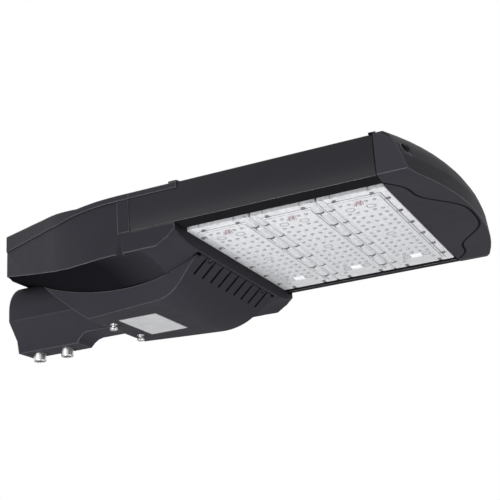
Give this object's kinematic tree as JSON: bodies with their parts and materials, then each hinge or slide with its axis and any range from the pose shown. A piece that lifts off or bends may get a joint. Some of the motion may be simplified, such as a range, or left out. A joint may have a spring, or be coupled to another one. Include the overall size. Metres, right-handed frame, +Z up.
{
  "type": "led street light head",
  "caption": "Black street lamp head with a clamp spigot, a gear compartment with a hinged door, a finned heat sink, LED modules and a solid nose cap.",
  "frame": {"origin": "centre of the pole socket's mouth", "axes": "+X along the head from the pole socket to the nose, +Y across the head, +Z up"},
  "size_m": [0.6054, 0.3328, 0.1624],
  "materials": {
    "black_casting": "fine-textured black powder coat",
    "black_extrusion": "satin black powder coat",
    "zinc_steel": "zinc plated",
    "galvanised_sheet": "galvanised",
    "clear_lens": "clear, moulded",
    "white_board": "white solder resist",
    "seal_rubber": "matt",
    "white_plastic": "moulded",
    "black_plastic": "moulded",
    "driver_case": "plain, satin"
  },
  "bodies": {
    "head": {"rear_housing": "black_casting", "top_cover": "black_casting", "end_cap": "black_casting", "pole_spigot": "black_casting", "heatsink_body": "black_extrusion", "clamp_bolts": "zinc_steel", "spigot_screws": "zinc_steel", "cover_screws": "zinc_steel", "housing_screws": "zinc_steel", "end_cap_screws": "zinc_steel", "tray_screws": "zinc_steel", "module_screws": "zinc_steel", "hinge_pins": "zinc_steel", "gear_tray": "galvanised_sheet", "lens_plate_1": "clear_lens", "lens_plate_2": "clear_lens", "lens_plate_3": "clear_lens", "led_board_1": "white_board", "led_board_2": "white_board", "led_board_3": "white_board", "module_gasket_1": "seal_rubber", "module_gasket_2": "seal_rubber", "module_gasket_3": "seal_rubber", "door_gasket": "seal_rubber", "board_connectors": "white_plastic", "terminal_block": "white_plastic", "surge_protector": "white_plastic", "cable_gland": "black_plastic", "led_driver": "driver_case"},
    "door": {"gear_door": "black_casting", "door_screws": "zinc_steel"}
  },
  "joints": [
    {"name": "door_hinge", "type": "hinge", "parent": "head", "child": "door", "pos_m": [0.30599, 0, -0.00055], "axis": [0, -1, 0], "range_deg": [0, 60]}
  ]
}
